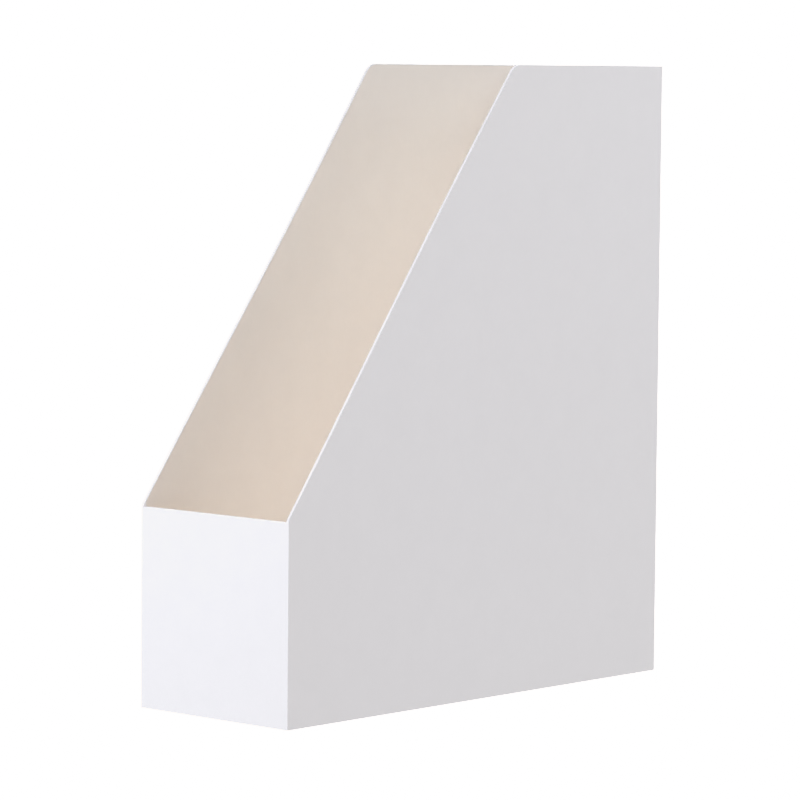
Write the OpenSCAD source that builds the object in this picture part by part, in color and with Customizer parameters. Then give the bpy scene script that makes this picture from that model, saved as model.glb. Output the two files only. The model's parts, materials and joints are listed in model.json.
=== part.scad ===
// Magazine file holder made of covered board.
//
// Five greyboard panels are glued edge to face and held by gummed paper stays. One sheet of white
// paper covers the outside and is turned in over the rim and under the base. Infill paper levels
// the faces between the turn-ins, beige paper lines the inside and a base sheet closes the bottom.
//
// The low front faces -Y, +X is to the right of someone facing it, +Z is up, and the origin is
// the centre of the face that the holder stands on.

/* [Body] */
// Overall width
body_w = 100; // [60:1:160]
// Overall depth from front to back
body_d = 280; // [240:1:340]
// Overall height
body_h = 318; // [280:1:360]
// Height at which the line of the slope meets the front
slope_z = 101; // [60:1:140]
// Length of the level top edge of each side
top_len = 118; // [80:1:150]
// Radius between the slope and the top edge
shoulder_r = 9; // [4:0.5:14]
// Radius between the slope and the front edge
lip_r = 3; // [2:0.5:6]

/* [Board] */
// Thickness of the greyboard
board_t = 1.2; // [0.8:0.1:3]
// Thickness of the stay tape, which is pressed flush into the board
stay_t = 0.1; // [0.06:0.02:0.2]
// Width of each leg of a corner stay
corner_stay_w = 15; // [8:1:20]
// Width of each leg of a base stay
base_stay_w = 12; // [6:1:14]
// Distance from a corner stay's top end to the rim
stay_drop = 3; // [1:0.5:8]

/* [Paper] */
// Thickness of the cover, the infill and the base sheet
cover_t = 0.16; // [0.1:0.02:0.3]
// Thickness of the lining
lining_t = 0.14; // [0.1:0.02:0.3]
// Width of the cover turned in over the rim and under the base
turn_in = 15; // [10:1:25]
// Distance from the rim to the lining's edge
rim_margin = 0.4; // [0.2:0.1:1.5]
// Width of cover left showing round the base sheet
base_margin = 3; // [1:0.5:8]
// Gap between the edges of two sheets that meet
sheet_gap = 0.15; // [0.1:0.05:0.8]
// Distance of the cover's seam from the left edge of the back
seam_inset = 20; // [6:1:30]

/* [Hidden] */

LEFT = -1;
RIGHT = 1;
FRONT = -1;
BACK = 1;

// A cut runs this far past the solid that it is taken from
over = 1;
// Straight pieces in each rounded corner of the rim
arc_steps = 16;

slope_angle = atan((body_h - slope_z) / (body_d - top_len));
front_h = slope_z - lip_r * tan((90 - slope_angle) / 2);

// Distances from the middle plane to the boards' outer faces, to their inner faces, to the level
// face of turn-ins and infill, and to the face of the lining
board_x = body_w / 2 - cover_t;
board_y = body_d / 2 - cover_t;
inner_x = board_x - board_t;
inner_y = board_y - board_t;
paper_x = inner_x - cover_t;
paper_y = inner_y - cover_t;
lining_x = paper_x - lining_t;
lining_y = paper_y - lining_t;

// Heights of the boards' underside and of the base board's upper face
base_z = 2 * cover_t;
floor_z = base_z + board_t;

board_grey = [0.62, 0.60, 0.57];
stay_brown = [0.72, 0.60, 0.44];
cover_white = [0.95, 0.95, 0.96];
infill_cream = [0.88, 0.86, 0.80];
lining_beige = [0.87, 0.81, 0.74];

// The range of coordinates between distances near and far from the middle, on one side of it
function span(side, near, far) = side > 0 ? [near, far] : [-far, -near];

// Height of the slope at depth y, when its line is moved inwards by inset
function slope_at(y, inset) =
    slope_z + (y + body_d / 2) * tan(slope_angle) - inset / cos(slope_angle);

// Depth at which the moved line of the slope meets the moved top edge
function shoulder_y(inset) =
    -body_d / 2 + (body_h - inset - slope_z + inset / cos(slope_angle)) / tan(slope_angle);

// Points that round corner p with radius r, from one edge's outward normal angle to the next one's
function fillet(p, from_angle, to_angle, r) =
    let (
        middle = (from_angle + to_angle) / 2,
        centre = p - r / cos((from_angle - to_angle) / 2) * [cos(middle), sin(middle)]
    )
    r <= 0 ? [p] : [
        for (i = [0 : arc_steps])
            let (a = from_angle + (to_angle - from_angle) * i / arc_steps)
                centre + r * [cos(a), sin(a)]
    ];

// Outline of a side in the YZ plane, with its rim moved inwards. Deeper in than the lip's radius,
// only the slope and the top edge are moved.
function side_points(inset) =
    let (edge = inset < lip_r ? inset : 0, front_y = -body_d / 2 + edge)
    concat(
        [[front_y, 0]],
        fillet([front_y, slope_at(front_y, inset)], 180, 90 + slope_angle,
               inset < lip_r ? lip_r - inset : 0),
        fillet([shoulder_y(inset), body_h - inset], 90 + slope_angle, 90, shoulder_r - inset),
        [[body_d / 2 - edge, body_h - inset], [body_d / 2 - edge, 0]]
    );

// A box between ranges of x, y and z
module block(x, y, z) {
    translate([x[0], y[0], z[0]]) cube([x[1] - x[0], y[1] - y[0], z[1] - z[0]]);
}

// A sheet parallel to the sides, over a range of x, as far out in y as half_y and from z0 up
module side_sheet(x, rim_inset, half_y, z0) {
    translate([x[0], 0, 0]) rotate([90, 0, 90]) linear_extrude(x[1] - x[0])
        intersection() {
            polygon(side_points(rim_inset));
            translate([-half_y, z0]) square([2 * half_y, body_h]);
        }
}

// The panels before the stays are pressed into them
module plain_side(side) {
    side_sheet(span(side, inner_x, board_x), cover_t, board_y, base_z);
}

module plain_front() {
    block([-inner_x, inner_x], [-board_y, -inner_y], [base_z, front_h - cover_t]);
}

module plain_back() {
    block([-inner_x, inner_x], [inner_y, board_y], [base_z, body_h - cover_t]);
}

module plain_base() {
    block([-inner_x, inner_x], [-inner_y, inner_y], [base_z, floor_z]);
}

// Gummed tape folded round an upright corner
module corner_stay(side, end) {
    top = (end == FRONT ? front_h : body_h) - stay_drop;
    z = [base_z + base_stay_w, top];
    color(stay_brown) union() {
        block(span(side, board_x - stay_t, board_x),
              span(end, board_y - corner_stay_w, board_y), z);
        block(span(side, board_x - corner_stay_w, board_x),
              span(end, board_y - stay_t, board_y), z);
    }
}

// Gummed tape folded round a side's lower edge
module side_base_stay(side) {
    color(stay_brown) union() {
        block(span(side, board_x - stay_t, board_x), [-board_y, board_y],
              [base_z, base_z + base_stay_w]);
        block(span(side, board_x - base_stay_w, board_x), [-board_y, board_y],
              [base_z, base_z + stay_t]);
    }
}

// Gummed tape folded round the lower edge of the front or back, between the side stays
module end_base_stay(end) {
    wall_x = board_x - stay_t;
    under_x = board_x - base_stay_w;
    color(stay_brown) union() {
        block([-wall_x, wall_x], span(end, board_y - stay_t, board_y),
              [base_z + stay_t, base_z + base_stay_w]);
        block([-under_x, under_x], span(end, board_y - base_stay_w, board_y),
              [base_z, base_z + stay_t]);
    }
}

module all_stays() {
    for (side = [LEFT, RIGHT]) {
        side_base_stay(side);
        for (end = [FRONT, BACK]) corner_stay(side, end);
    }
    for (end = [FRONT, BACK]) end_base_stay(end);
}

module side_board(side) {
    color(board_grey) difference() {
        plain_side(side);
        all_stays();
    }
}

module front_board() {
    color(board_grey) difference() {
        plain_front();
        all_stays();
    }
}

module back_board() {
    color(board_grey) difference() {
        plain_back();
        all_stays();
    }
}

module base_board() {
    color(board_grey) difference() {
        plain_base();
        all_stays();
    }
}

// The mouth, and the inside as far out as the faces of the turn-ins
module cover_inside() {
    inside_x = [-paper_x, paper_x];
    block(inside_x, [-paper_y, paper_y], [floor_z, body_h + over]);
    block(inside_x, [-body_d / 2 - over, paper_y], [front_h, body_h + over]);
}

// The faces of the boards below the turn-ins
module cover_below_turn_ins() {
    inside_x = [-inner_x, inner_x];
    side_sheet(inside_x, turn_in, paper_y, floor_z);
    block(inside_x, [-inner_y, -paper_y], [floor_z, front_h - turn_in]);
    block(inside_x, [paper_y, inner_y], [floor_z, body_h - turn_in]);
}

// The window between the flaps turned under the base, and the mitres between those flaps
module cover_under_base() {
    window_x = body_w / 2 - turn_in;
    window_y = body_d / 2 - turn_in;
    z = [0, base_z];
    block([-window_x, window_x], [-window_y, window_y], z);
    for (side = [LEFT, RIGHT], end = [FRONT, BACK])
        translate([side * body_w / 2, end * body_d / 2, 0]) rotate(45 * side * end)
            block([-turn_in * 1.5, turn_in * 1.5], [-sheet_gap / 2, sheet_gap / 2], z);
}

// The seam, where the sheet's two ends meet on the back
module cover_seam() {
    seam_x = -body_w / 2 + seam_inset;
    block([seam_x, seam_x + sheet_gap], [body_d / 2 - turn_in - over, body_d / 2 + over],
          [0, body_h + over]);
}

module cover_paper() {
    color(cover_white) difference() {
        side_sheet([-body_w / 2, body_w / 2], 0, body_d / 2, cover_t);
        for (side = [LEFT, RIGHT]) plain_side(side);
        plain_front();
        plain_back();
        plain_base();
        cover_inside();
        cover_below_turn_ins();
        cover_under_base();
        cover_seam();
    }
}

// Papers as thick as the cover, which level the boards between the turn-ins
module side_infill(side) {
    color(infill_cream)
        side_sheet(span(side, paper_x, inner_x), turn_in + sheet_gap, paper_y - sheet_gap, floor_z);
}

module end_infill(end) {
    half_x = paper_x - sheet_gap;
    top = (end == FRONT ? front_h : body_h) - turn_in - sheet_gap;
    color(infill_cream)
        block([-half_x, half_x], span(end, paper_y, inner_y), [floor_z, top]);
}

module base_infill() {
    half_x = body_w / 2 - turn_in - sheet_gap;
    half_y = body_d / 2 - turn_in - sheet_gap;
    color(infill_cream) block([-half_x, half_x], [-half_y, half_y], [cover_t, base_z]);
}

// Side linings run right into the corners, and the end linings are cut to fit between them
module side_lining(side) {
    color(lining_beige)
        side_sheet(span(side, lining_x, paper_x), rim_margin, paper_y, floor_z);
}

module end_lining(end) {
    half_x = lining_x - sheet_gap;
    top = (end == FRONT ? front_h : body_h) - rim_margin;
    color(lining_beige)
        block([-half_x, half_x], span(end, lining_y, paper_y), [floor_z, top]);
}

module base_lining() {
    half_x = lining_x - sheet_gap;
    half_y = lining_y - sheet_gap;
    color(lining_beige) block([-half_x, half_x], [-half_y, half_y], [floor_z, floor_z + lining_t]);
}

module base_sheet() {
    half_x = body_w / 2 - base_margin;
    half_y = body_d / 2 - base_margin;
    color(cover_white) block([-half_x, half_x], [-half_y, half_y], [0, cover_t]);
}

side_board(LEFT);  // side_board_left
side_board(RIGHT);  // side_board_right
front_board();
back_board();
base_board();
corner_stay(LEFT, FRONT);  // corner_stay_front_left
corner_stay(RIGHT, FRONT);  // corner_stay_front_right
corner_stay(LEFT, BACK);  // corner_stay_back_left
corner_stay(RIGHT, BACK);  // corner_stay_back_right
side_base_stay(LEFT);  // base_stay_left
side_base_stay(RIGHT);  // base_stay_right
end_base_stay(FRONT);  // base_stay_front
end_base_stay(BACK);  // base_stay_back
cover_paper();
side_infill(LEFT);  // infill_left
side_infill(RIGHT);  // infill_right
end_infill(FRONT);  // infill_front
end_infill(BACK);  // infill_back
base_infill();  // infill_base
side_lining(LEFT);  // lining_left
side_lining(RIGHT);  // lining_right
end_lining(FRONT);  // lining_front
end_lining(BACK);  // lining_back
base_lining();  // lining_base
base_sheet();
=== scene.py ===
"""The looks of the magazine file holder: covered board, cool white outside, with a warm lining.

Lengths are in metres, in the CAD model's frame: the low front faces -Y, +X is right, +Z is up.
"""

import json
import math

import bmesh
import bpy
from mathutils import Matrix, Vector


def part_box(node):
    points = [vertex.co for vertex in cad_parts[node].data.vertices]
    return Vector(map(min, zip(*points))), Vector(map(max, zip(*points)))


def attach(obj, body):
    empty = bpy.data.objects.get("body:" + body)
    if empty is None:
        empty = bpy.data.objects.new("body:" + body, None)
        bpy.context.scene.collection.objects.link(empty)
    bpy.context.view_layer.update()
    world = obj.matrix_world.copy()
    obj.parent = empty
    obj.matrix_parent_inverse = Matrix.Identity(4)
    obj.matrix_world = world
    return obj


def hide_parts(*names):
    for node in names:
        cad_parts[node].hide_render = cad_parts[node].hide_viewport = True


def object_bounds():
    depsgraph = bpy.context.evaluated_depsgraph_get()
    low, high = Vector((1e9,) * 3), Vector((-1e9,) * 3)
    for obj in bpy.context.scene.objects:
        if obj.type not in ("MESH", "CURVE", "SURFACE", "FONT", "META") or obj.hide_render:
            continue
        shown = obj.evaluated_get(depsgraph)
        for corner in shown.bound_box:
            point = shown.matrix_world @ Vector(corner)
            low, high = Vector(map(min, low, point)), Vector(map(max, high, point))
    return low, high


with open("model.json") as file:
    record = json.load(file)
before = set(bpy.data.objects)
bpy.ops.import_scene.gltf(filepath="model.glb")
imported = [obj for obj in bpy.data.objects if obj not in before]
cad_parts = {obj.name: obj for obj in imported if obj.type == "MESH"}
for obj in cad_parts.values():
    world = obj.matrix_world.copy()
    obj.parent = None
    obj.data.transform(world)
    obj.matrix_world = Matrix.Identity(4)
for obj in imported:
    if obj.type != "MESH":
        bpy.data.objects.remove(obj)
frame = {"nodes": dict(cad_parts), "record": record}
cad_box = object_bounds()

MM = 0.001
BODY = "root"

# The cover's outer size
HOLDER_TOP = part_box("cover_paper")[1].z
HALF_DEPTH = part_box("cover_paper")[1].y

# The side panels bow in a little, as covered board does when its glue dries. The bow is deepest
# half-way up and half-way back, and dies out at the corners, the top edge and the base stays.
BOW = 1.65 * MM
BOW_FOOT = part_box("base_stay_left")[1].z

# Pitch of the cuts that let a flat face bend
SLICE = 8 * MM

# Radii of worked edges
COVER_FOLD = 0.5 * MM
BOARD_EDGE = 0.15 * MM
PAPER_EDGE = 0.04 * MM

# Corners of a CAD mesh that are nearer than this are one corner
WELD = 0.001 * MM

# Faces that meet at less than the flat angle are one face, and at more than the sharp angle they
# meet at a crisp edge
FLAT_ANGLE = math.radians(0.3)
SHARP_ANGLE = math.radians(30)


# ---------------------------------------------------------------- meshes


def bow_at(y, z):
    """How far a side panel bows in at depth y and height z."""
    up = (z - BOW_FOOT) / (HOLDER_TOP - BOW_FOOT)
    if not 0 < up < 1:
        return 0.0
    along = math.cos(math.pi / 2 * y / HALF_DEPTH) ** 2
    return BOW * along * 4 * up * (1 - up)


def sort_by_place(elements, place_of):
    """Puts a mesh's corners or faces in an order that depends on nothing but their places."""
    in_order = sorted(elements, key=lambda element: place_of(element).to_tuple())
    rank = {element: i for i, element in enumerate(in_order)}
    elements.sort(key=rank.get)


def slice_mesh(bm):
    """Cuts the mesh along level and upright planes, so that its flat faces can bend."""
    for direction, low, high in (("Y", -HALF_DEPTH, HALF_DEPTH), ("Z", 0, HOLDER_TOP)):
        normal = Vector([float(direction == axis) for axis in "XYZ"])
        for i in range(math.ceil(low / SLICE), math.floor(high / SLICE) + 1):
            everything = bm.verts[:] + bm.edges[:] + bm.faces[:]
            place = normal * i * SLICE
            bmesh.ops.bisect_plane(bm, geom=everything, plane_co=place, plane_no=normal)
    sort_by_place(bm.verts, lambda vert: vert.co)
    sort_by_place(bm.faces, lambda face: face.calc_center_median())


def round_edges(bm, radius, segments, folds):
    """Rounds the sharp outward edges that folds accepts."""
    sharp = [
        edge
        for edge in bm.edges
        if edge.is_manifold
        and edge.is_convex
        and edge.calc_face_angle() > SHARP_ANGLE
        and folds(edge)
    ]
    bmesh.ops.bevel(
        bm,
        geom=sharp,
        offset=radius,
        segments=segments,
        profile=0.5,
        affect="EDGES",
        clamp_overlap=True,
    )


def worked_copy(node, name, slot, radius, segments=2, bows=False, folds=lambda edge: True):
    """A finished piece that stands for a CAD node: its edges are rounded, and a side's layer bows.

    folds tells which of the sharp outward edges are rounded.
    """
    mesh = bpy.data.meshes.new(name)
    bm = bmesh.new()
    bm.from_mesh(frame["nodes"][node].data)
    bmesh.ops.remove_doubles(bm, verts=bm.verts, dist=WELD)
    bmesh.ops.dissolve_limit(bm, angle_limit=FLAT_ANGLE, verts=bm.verts, edges=bm.edges)
    round_edges(bm, radius, segments, folds)
    if bows:
        slice_mesh(bm)
        for vert in bm.verts:
            vert.co.x -= math.copysign(bow_at(vert.co.y, vert.co.z), vert.co.x)
    for face in bm.faces:
        face.smooth = True
    bm.to_mesh(mesh)
    bm.free()
    mesh.set_sharp_from_angle(angle=SHARP_ANGLE)
    piece = bpy.data.objects.new(name, mesh)
    bpy.context.scene.collection.objects.link(piece)
    weighted = piece.modifiers.new("even_shading", "WEIGHTED_NORMAL")
    weighted.keep_sharp = True
    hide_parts(node)
    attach(piece, BODY)
    return piece


def is_cover_fold(edge):
    """True for the cover's folds: round the box's corners, over the rim and under the base."""
    near = 0.02 * MM
    upward = 0.5
    low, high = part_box("cover_paper")
    inner_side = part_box("lining_right")[1].x
    inner_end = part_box("lining_back")[1].y
    middle = (edge.verts[0].co + edge.verts[1].co) / 2
    on_side = abs(abs(middle.x) - high.x) < near
    on_end = abs(abs(middle.y) - high.y) < near
    on_foot = abs(middle.z - low.z) < near
    on_inner_wall = (
        abs(abs(middle.x) - inner_side) < near or abs(abs(middle.y) - inner_end) < near
    )
    if (on_side and (on_end or on_foot)) or (on_end and on_foot):
        return True
    on_rim = any(face.normal.z > upward for face in edge.link_faces)
    return on_rim and (on_side or on_end or on_inner_wall)


# ---------------------------------------------------------------- materials


class Shader:
    """A node tree with one Principled shader, and short calls that add nodes to it."""

    def __init__(self, name):
        self.material = bpy.data.materials.new(name)
        self.material.use_nodes = True
        self.tree = self.material.node_tree
        self.bsdf = self.tree.nodes["Principled BSDF"]
        coordinates = self.add("ShaderNodeTexCoord")
        self.place = coordinates.outputs["Object"]
        self.facing = coordinates.outputs["Normal"]

    def add(self, kind, **settings):
        """A new node, with its settings."""
        node = self.tree.nodes.new(kind)
        for key, value in settings.items():
            setattr(node, key, value)
        return node

    def link(self, source, target):
        """Joins an output socket to an input socket."""
        self.tree.links.new(source, target)

    def feed(self, sockets, values):
        """Links each value that comes from a node, and sets each that is a number or a colour."""
        for socket, value in zip(sockets, values):
            if isinstance(value, bpy.types.NodeSocket):
                self.link(value, socket)
            else:
                socket.default_value = (*value, 1) if socket.type == "RGBA" else value

    def times(self, vector, factors):
        """The vector or colour, multiplied part by part."""
        node = self.add("ShaderNodeVectorMath", operation="MULTIPLY")
        self.feed(node.inputs, (vector, factors))
        return node.outputs[0]

    def height_of(self, vector):
        """The vector's part along Z."""
        node = self.add("ShaderNodeSeparateXYZ")
        self.link(vector, node.inputs[0])
        return node.outputs[2]

    def noise(self, size, detail=2.0, roughness=0.5, place=None):
        """Noise whose features are about size metres across."""
        node = self.add("ShaderNodeTexNoise")
        self.link(place or self.place, node.inputs["Vector"])
        node.inputs["Scale"].default_value = 1 / size
        node.inputs["Detail"].default_value = detail
        node.inputs["Roughness"].default_value = roughness
        return node.outputs["Fac"]

    def span(self, value, low, high, from_low=0.3, from_high=0.7):
        """The value moved from one range to another."""
        node = self.add("ShaderNodeMapRange")
        self.link(value, node.inputs["Value"])
        node.inputs["From Min"].default_value = from_low
        node.inputs["From Max"].default_value = from_high
        node.inputs["To Min"].default_value = low
        node.inputs["To Max"].default_value = high
        return node.outputs["Result"]

    def maths(self, operation, a, b):
        """A sum, product or comparison of two values."""
        node = self.add("ShaderNodeMath", operation=operation)
        self.feed(node.inputs, (a, b))
        return node.outputs[0]

    def mix(self, share, a, b):
        """Colour a where share is 0, and colour b where it is 1."""
        node = self.add("ShaderNodeMix", data_type="RGBA")
        self.link(share, node.inputs["Factor"])
        self.feed([socket for socket in node.inputs if socket.type == "RGBA"], (a, b))
        return next(socket for socket in node.outputs if socket.type == "RGBA")

    def specks(self, cell, radius, share):
        """1 inside sparse specks: one at most in each cell, in that share of the cells."""
        node = self.add("ShaderNodeTexVoronoi")
        self.link(self.place, node.inputs["Vector"])
        node.inputs["Scale"].default_value = 1 / cell
        pick = self.add("ShaderNodeSeparateColor")
        self.link(node.outputs["Color"], pick.inputs[0])
        chosen = self.maths("LESS_THAN", pick.outputs[0], share)
        reach = radius / cell
        inside = self.span(node.outputs["Distance"], 1, 0, reach / 2, reach)
        return self.maths("MULTIPLY", chosen, inside)

    def bump(self, height, distance):
        """Fine relief of the surface, which stands out by distance metres where height is 1."""
        node = self.add("ShaderNodeBump")
        node.inputs["Strength"].default_value = 1
        node.inputs["Distance"].default_value = distance
        self.link(height, node.inputs["Height"])
        self.link(node.outputs["Normal"], self.bsdf.inputs["Normal"])


def paint_rim_shade(s, colour, at_top, at_foot):
    """Painted shade: the colour, darkened and warmed on faces that look up, which on the cover are
    its rim.

    The tone of this painted shade multiplies the colour, by at_top at the holder's top and by
    at_foot at its foot.
    """
    # Warm tint and random blotches of the painted shade on the rim
    tint = (1.02, 0.985, 0.965)
    tone = s.span(s.height_of(s.place), at_foot, at_top, 0, HOLDER_TOP)
    blotches = s.span(s.noise(9 * MM, detail=3), -0.03, 0.03)
    shaded = s.times(s.times(colour, tint), s.maths("ADD", tone, blotches))
    looks_up = s.span(s.height_of(s.facing), 0, 1, 0.1, 0.5)
    return s.mix(looks_up, colour, shaded)


def paper(name, light, dark, speck, speck_share, tooth, rough, fibre, rim_shade=None):
    """Matt paper: clouded tone, short fibres along Z, sparse specks and a fine tooth, with painted
    shade on the rim when rim_shade is given.
    """
    s = Shader(name)
    cloud = s.noise(14 * MM, detail=4, roughness=0.6)
    strands = s.noise(1 * MM, detail=3, place=s.times(s.place, (1, 1, fibre)))
    tone = s.maths("ADD", s.span(cloud, 0, 0.6), s.span(strands, 0, 0.4))
    colour = s.mix(tone, dark, light)
    colour = s.mix(s.specks(11 * MM, 0.35 * MM, speck_share), colour, speck)
    # Painted shade on the rim: faces that look up are darkened and warmed
    if rim_shade:
        colour = paint_rim_shade(s, colour, *rim_shade)
    s.link(colour, s.bsdf.inputs["Base Color"])
    s.link(s.span(strands, rough - 0.04, rough + 0.04), s.bsdf.inputs["Roughness"])
    s.bsdf.inputs["Specular IOR Level"].default_value = 0.3
    grain = s.noise(0.35 * MM, detail=3, roughness=0.65)
    s.bump(s.maths("ADD", grain, strands), tooth)
    return s.material


def greyboard():
    """Recycled board: grey pulp with light and dark flecks."""
    s = Shader("greyboard")
    pulp = s.noise(5 * MM, detail=5, roughness=0.65)
    colour = s.mix(s.span(pulp, 0, 1), (0.27, 0.25, 0.22), (0.4, 0.38, 0.34))
    colour = s.mix(s.specks(3 * MM, 0.5 * MM, 0.35), colour, (0.12, 0.11, 0.1))
    colour = s.mix(s.specks(4 * MM, 0.6 * MM, 0.25), colour, (0.62, 0.6, 0.55))
    s.link(colour, s.bsdf.inputs["Base Color"])
    s.link(s.span(pulp, 0.86, 0.96), s.bsdf.inputs["Roughness"])
    s.bump(s.noise(0.6 * MM, detail=4, roughness=0.7), 0.06 * MM)
    return s.material


def kraft_tape():
    """Gummed brown tape: long fibres and a slight sheen."""
    s = Shader("stay_tape")
    strands = s.noise(0.8 * MM, detail=4, place=s.times(s.place, (1, 1, 0.15)))
    colour = s.mix(s.span(strands, 0, 1), (0.36, 0.23, 0.12), (0.54, 0.38, 0.22))
    s.link(colour, s.bsdf.inputs["Base Color"])
    s.link(s.span(strands, 0.62, 0.78), s.bsdf.inputs["Roughness"])
    s.bump(strands, 0.02 * MM)
    return s.material


MATERIALS = {
    "cover_paper": paper(
        "cover_paper", (0.885, 0.89, 0.915), (0.865, 0.87, 0.895), (0.6, 0.59, 0.58), 0.03,
        # Painted shade on the rim: 0.6 of the colour at the top and 0.84 at the foot
        tooth=0.05 * MM, rough=0.68, fibre=0.35, rim_shade=(0.6, 0.84),
    ),
    "lining_paper": paper(
        "lining_paper", (0.897, 0.855, 0.802), (0.873, 0.831, 0.778), (0.6, 0.52, 0.44), 0.06,
        tooth=0.06 * MM, rough=0.8, fibre=0.25,
    ),
    "infill_paper": paper(
        "infill_paper", (0.76, 0.73, 0.64), (0.7, 0.67, 0.58), (0.4, 0.34, 0.26), 0.2,
        tooth=0.03 * MM, rough=0.86, fibre=0.2,
    ),
    "stay_tape": kraft_tape(),
    "greyboard": greyboard(),
}


def give(piece, slot):
    """Sets a piece's one material."""
    piece.data.materials.clear()
    piece.data.materials.append(MATERIALS[slot])


# ---------------------------------------------------------------- the holder


def make_pieces():
    """Makes the worked pieces and gives every piece its material."""
    slot_of = {part["node"]: part["material_slot"] for part in frame["record"]["subparts"]}
    worked = {}

    def work(node, name, radius, **options):
        worked[node] = worked_copy(node, name, slot_of[node], radius, **options)

    work("cover_paper", "cover_wrap", COVER_FOLD, segments=4, bows=True, folds=is_cover_fold)
    for hand in ("left", "right"):
        work(f"side_board_{hand}", f"side_panel_{hand}", BOARD_EDGE, bows=True)
        work(f"infill_{hand}", f"infill_sheet_{hand}", PAPER_EDGE, bows=True)
        work(f"lining_{hand}", f"lining_sheet_{hand}", PAPER_EDGE, bows=True)
        for end in ("front", "back"):
            corner = f"{end}_{hand}"
            work(f"corner_stay_{corner}", f"corner_tape_{corner}", PAPER_EDGE, bows=True)
    for place in ("front", "back", "base"):
        work(f"lining_{place}", f"lining_sheet_{place}", PAPER_EDGE)
    work("base_sheet", "base_cover_sheet", PAPER_EDGE)
    for node, cad_piece in frame["nodes"].items():
        give(worked.get(node, cad_piece), slot_of[node])


# ---------------------------------------------------------------- stage, light and camera

# The floor and the dome, far enough off for the camera to stand inside
STAGE_RADIUS = 12
WHITE = (1, 1, 1)

# The stage's glow, and the brightness that the view curve turns into full white
WHITE_OUT = 2.0

# Where the view curve's shoulder starts, in red, green and blue
SHOULDERS = (0.97, 0.94, 0.93)

# The light that a pale warm floor throws up, from a disc just below the visible one
FLOOR_BOUNCE = (0.932, 0.873, 0.815)
BOUNCE_DROP = 0.5 * MM

# The soft boxes' distance from the middle of the holder, and the length of their sides
LIGHT_DISTANCE = 2.0
LIGHT_SIZE = 1.2

# The camera's place, its lens in millimetres, and its turn, dip and roll in degrees
CAMERA_PLACE = (1.3748, -1.5274, 0.3165)
CAMERA_LENS = 182.65
CAMERA_TURN = 42.114
CAMERA_DIP = 4.693
CAMERA_ROLL = 0.5


def glow(name, colour, strength):
    """A plain light-giving material for the stage."""
    material = bpy.data.materials.new(name)
    material.use_nodes = True
    tree = material.node_tree
    tree.nodes.clear()
    emission = tree.nodes.new("ShaderNodeEmission")
    emission.inputs["Color"].default_value = (*colour, 1)
    emission.inputs["Strength"].default_value = strength
    output = tree.nodes.new("ShaderNodeOutputMaterial")
    tree.links.new(emission.outputs[0], output.inputs["Surface"])
    return material


def make_stage():
    """A white floor and dome for the camera, and the softer light that the floor throws up."""

    def disc(name, drop, colour, strength):
        bpy.ops.mesh.primitive_circle_add(vertices=96, radius=STAGE_RADIUS, fill_type="NGON")
        piece = bpy.context.object
        piece.name = name
        piece.location.z = -drop
        piece.data.materials.append(glow(name, colour, strength))
        return piece

    def camera_only(piece):
        piece.visible_diffuse = False
        piece.visible_glossy = False
        piece.visible_transmission = False
        piece.visible_volume_scatter = False
        piece.visible_shadow = False

    floor = disc("floor", 0, WHITE, WHITE_OUT)
    camera_only(floor)
    bounce = disc("floor_bounce", BOUNCE_DROP, FLOOR_BOUNCE, 1)
    bounce.visible_camera = False
    bpy.ops.mesh.primitive_uv_sphere_add(segments=64, ring_count=32, radius=STAGE_RADIUS)
    dome = bpy.context.object
    dome.name = "backdrop"
    dome.data.materials.append(glow("backdrop", WHITE, WHITE_OUT))
    camera_only(dome)


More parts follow.
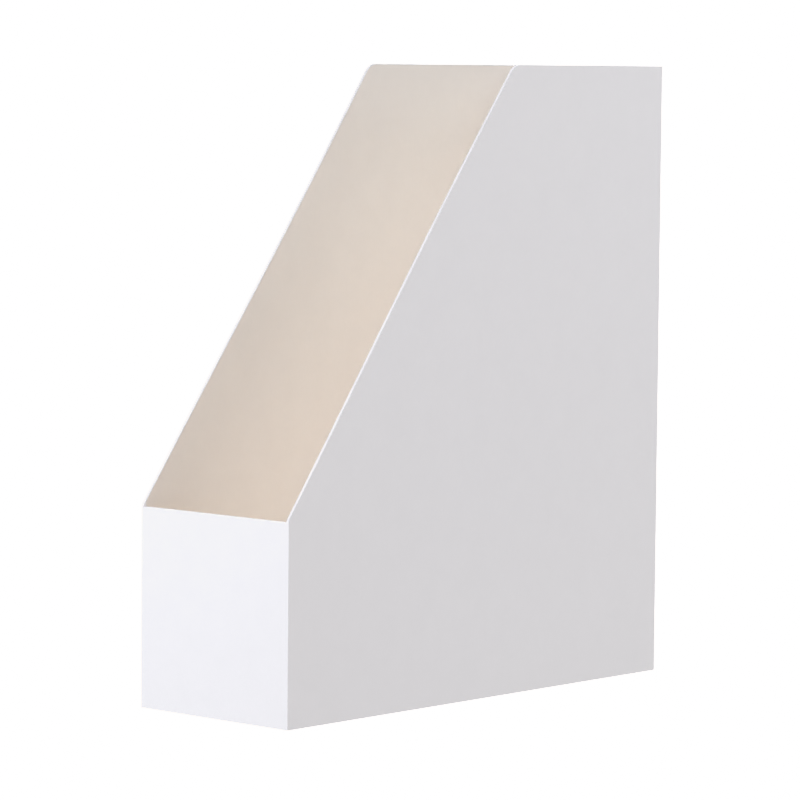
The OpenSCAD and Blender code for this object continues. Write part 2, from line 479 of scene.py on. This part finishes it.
def soft_light(name, azimuth, elevation, power, colour):
    """A square soft box, aimed at the middle of the holder. Azimuth 0 is in front of it."""
    lamp = bpy.data.lights.new(name, "AREA")
    lamp.shape = "SQUARE"
    lamp.size = LIGHT_SIZE
    lamp.energy = power
    lamp.color = colour
    a, e = math.radians(azimuth), math.radians(elevation)
    outwards = Vector((math.sin(a) * math.cos(e), -math.cos(a) * math.cos(e), math.sin(e)))
    box = bpy.data.objects.new(name, lamp)
    box.location = (cad_box[0] + cad_box[1]) / 2 + outwards * LIGHT_DISTANCE
    box.rotation_mode = "QUATERNION"
    box.rotation_quaternion = (-outwards).to_track_quat("-Z", "Y")
    bpy.context.scene.collection.objects.link(box)


def make_lights():
    """Soft boxes all round. The key is high on the left, and the right side is in shade."""
    world = bpy.data.worlds.new("studio")
    world.use_nodes = True
    world.node_tree.nodes["Background"].inputs["Strength"].default_value = 0
    bpy.context.scene.world = world
    soft_light("overhead_light", 0, 90, 29.5, (1.01, 0.98, 1.01))
    soft_light("key_light", -40, 40, 33, (0.92, 1.0, 1.08))
    soft_light("left_light", -100, 40, 9.3, (0.9, 1.01, 1.09))
    soft_light("front_light", 20, 10, 7.8, (0.99, 0.94, 1.07))
    soft_light("right_light", 110, 10, 7.7, (0.92, 0.99, 1.09))
    soft_light("back_light", 150, 40, 9, (0.97, 1.0, 1.03))


def make_camera():
    """A long lens level with the top of the holder, looking at its front and right side."""
    data = bpy.data.cameras.new("camera")
    data.lens = CAMERA_LENS
    data.sensor_width = 36
    data.clip_end = 4 * STAGE_RADIUS
    camera = bpy.data.objects.new("camera", data)
    camera.matrix_world = (
        Matrix.Translation(CAMERA_PLACE)
        @ Matrix.Rotation(math.radians(CAMERA_TURN), 4, "Z")
        @ Matrix.Rotation(math.radians(90 - CAMERA_DIP), 4, "X")
        @ Matrix.Rotation(math.radians(CAMERA_ROLL), 4, "Z")
    )
    bpy.context.scene.collection.objects.link(camera)
    bpy.context.scene.camera = camera


def set_view():
    """Plain colours up to a soft shoulder, so that brightly lit faces keep some tone."""
    scene = bpy.context.scene
    scene.cycles.max_bounces = 14
    scene.cycles.diffuse_bounces = 10
    view = scene.view_settings
    view.view_transform = "Standard"
    view.use_curve_mapping = True
    mapping = view.curve_mapping
    mapping.white_level = (WHITE_OUT,) * 3
    for curve, shoulder in zip(mapping.curves, SHOULDERS):
        curve.points.new(shoulder / WHITE_OUT, shoulder)
        for point in curve.points:
            point.handle_type = "VECTOR"
    mapping.update()


make_camera()
make_pieces()
make_stage()
make_lights()
set_view()
